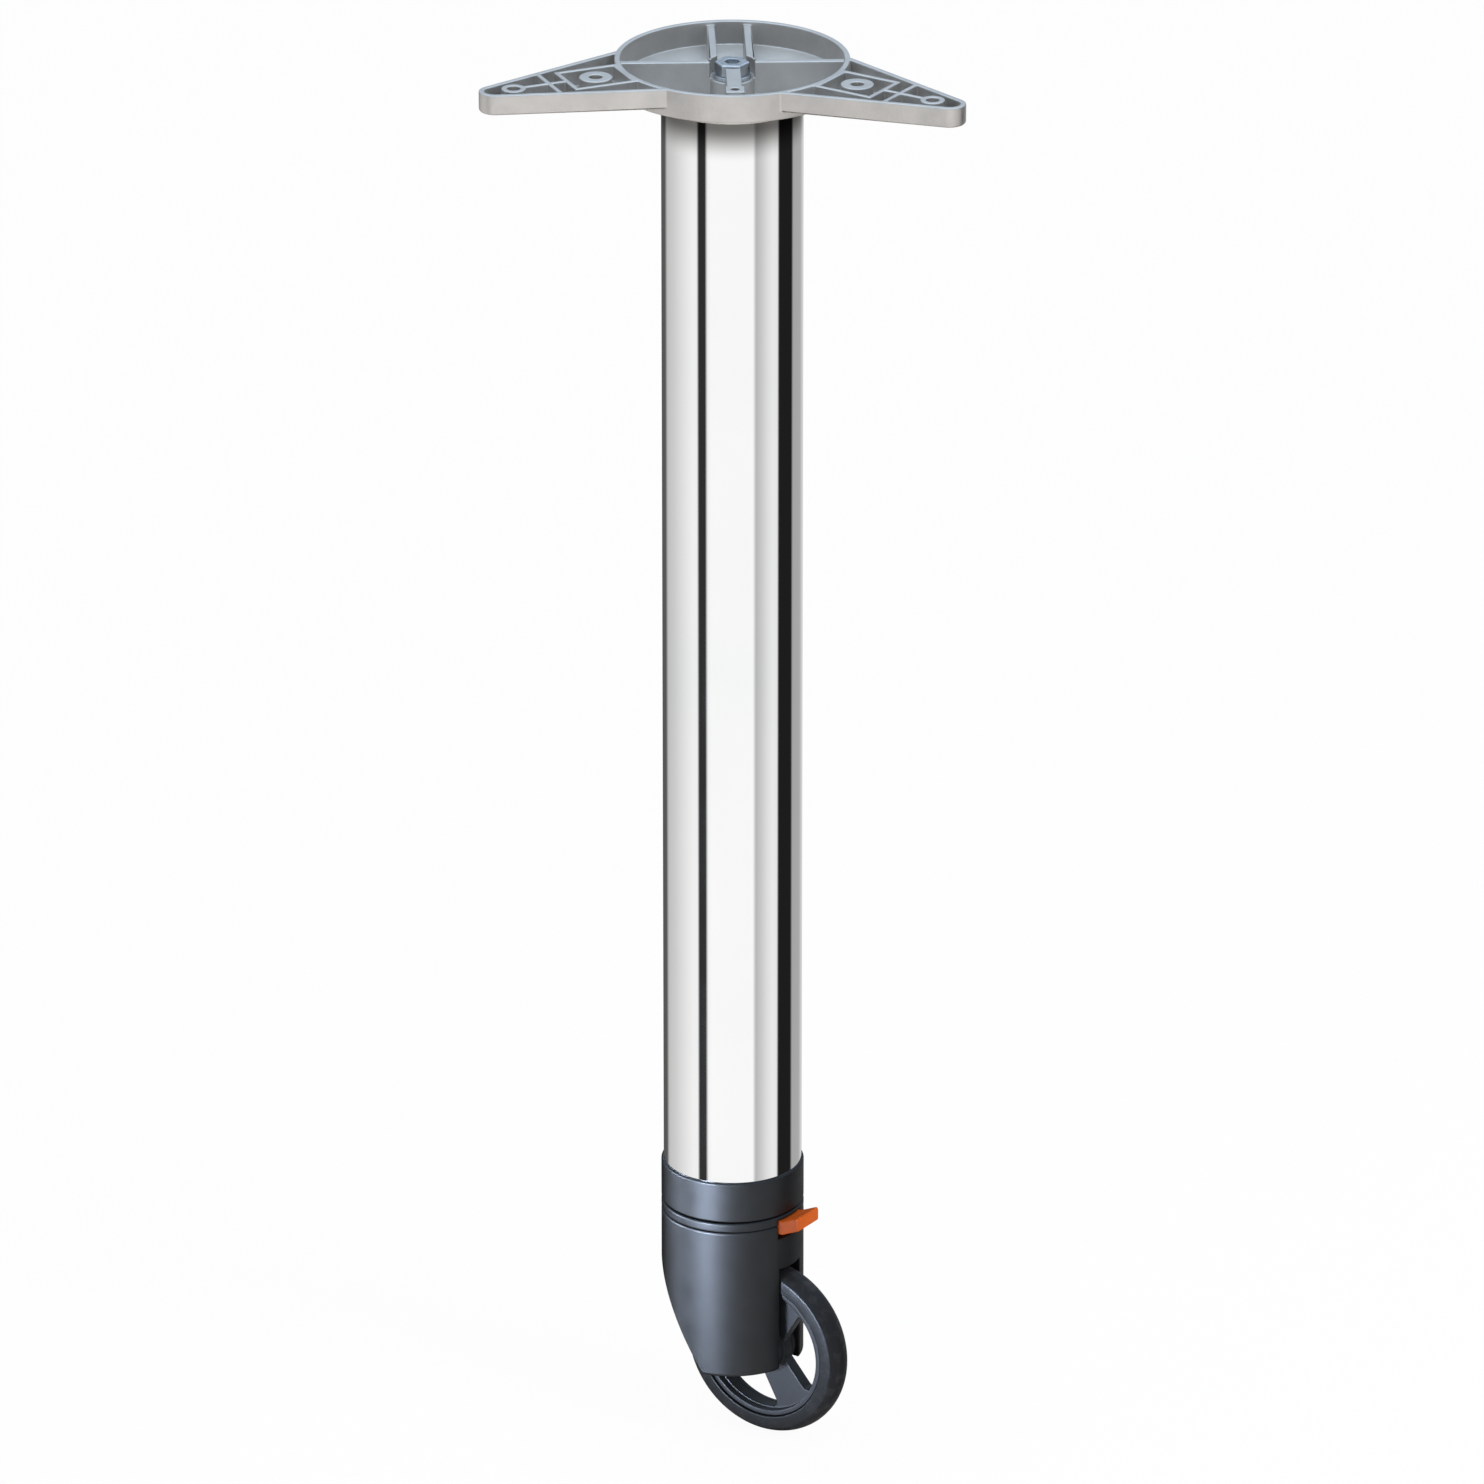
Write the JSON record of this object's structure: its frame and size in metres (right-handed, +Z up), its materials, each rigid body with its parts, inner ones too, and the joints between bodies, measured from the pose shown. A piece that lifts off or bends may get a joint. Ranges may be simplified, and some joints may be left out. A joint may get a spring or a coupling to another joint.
{
  "type": "table leg with castor",
  "caption": "Round chromed table leg with a winged cast mounting plate on top and a raked swivel castor with a spoked wheel and brake tab below.",
  "frame": {"origin": "centre of the mounting plate's top face, on the leg's axis", "axes": "+Z up along the leg towards the table top, the plate's wings open in a V towards -Y"},
  "size_m": [0.2032, 0.1068, 0.6305],
  "materials": {
    "cast_plate": "as cast",
    "chrome_tube": "polished",
    "black_moulding": "satin",
    "black_wheel": "satin",
    "black_tread": "gloss",
    "plain_steel": "zinc plated",
    "orange_pedal": "satin",
    "pale_nylon": "plain"
  },
  "bodies": {
    "leg": {"mounting_plate": "cast_plate", "plate_bolt": "plain_steel", "plate_washer": "plain_steel", "top_plug": "pale_nylon", "plug_nut": "plain_steel", "leg_tube": "chrome_tube", "collar": "black_moulding", "stem_sleeve": "plain_steel"},
    "castor": {"castor_housing": "black_moulding", "housing_cap": "black_moulding", "kingpin": "plain_steel", "kingpin_clip": "plain_steel", "thrust_washer": "pale_nylon", "wheel_axle": "plain_steel", "axle_plug": "black_moulding", "brake_pin": "plain_steel", "brake_spring": "plain_steel"},
    "wheel": {"wheel_core": "black_wheel", "wheel_tyre": "black_tread", "wheel_bushes": "pale_nylon"},
    "brake": {"brake_pedal": "orange_pedal"}
  },
  "joints": [
    {"name": "castor_swivel", "type": "hinge", "parent": "leg", "child": "castor", "pos_m": [0, 0, -0.5281], "axis": [0, 0, 1], "continuous": true},
    {"name": "wheel_spin", "type": "hinge", "parent": "castor", "child": "wheel", "pos_m": [0.01609, -0.00892, -0.5905], "axis": [0.4848, 0.8746, 0], "continuous": true},
    {"name": "brake_press", "type": "hinge", "parent": "castor", "child": "brake", "pos_m": [0.01189, -0.00659, -0.5329], "axis": [0.4848, 0.8746, 0], "range_deg": [0, 6]}
  ]
}
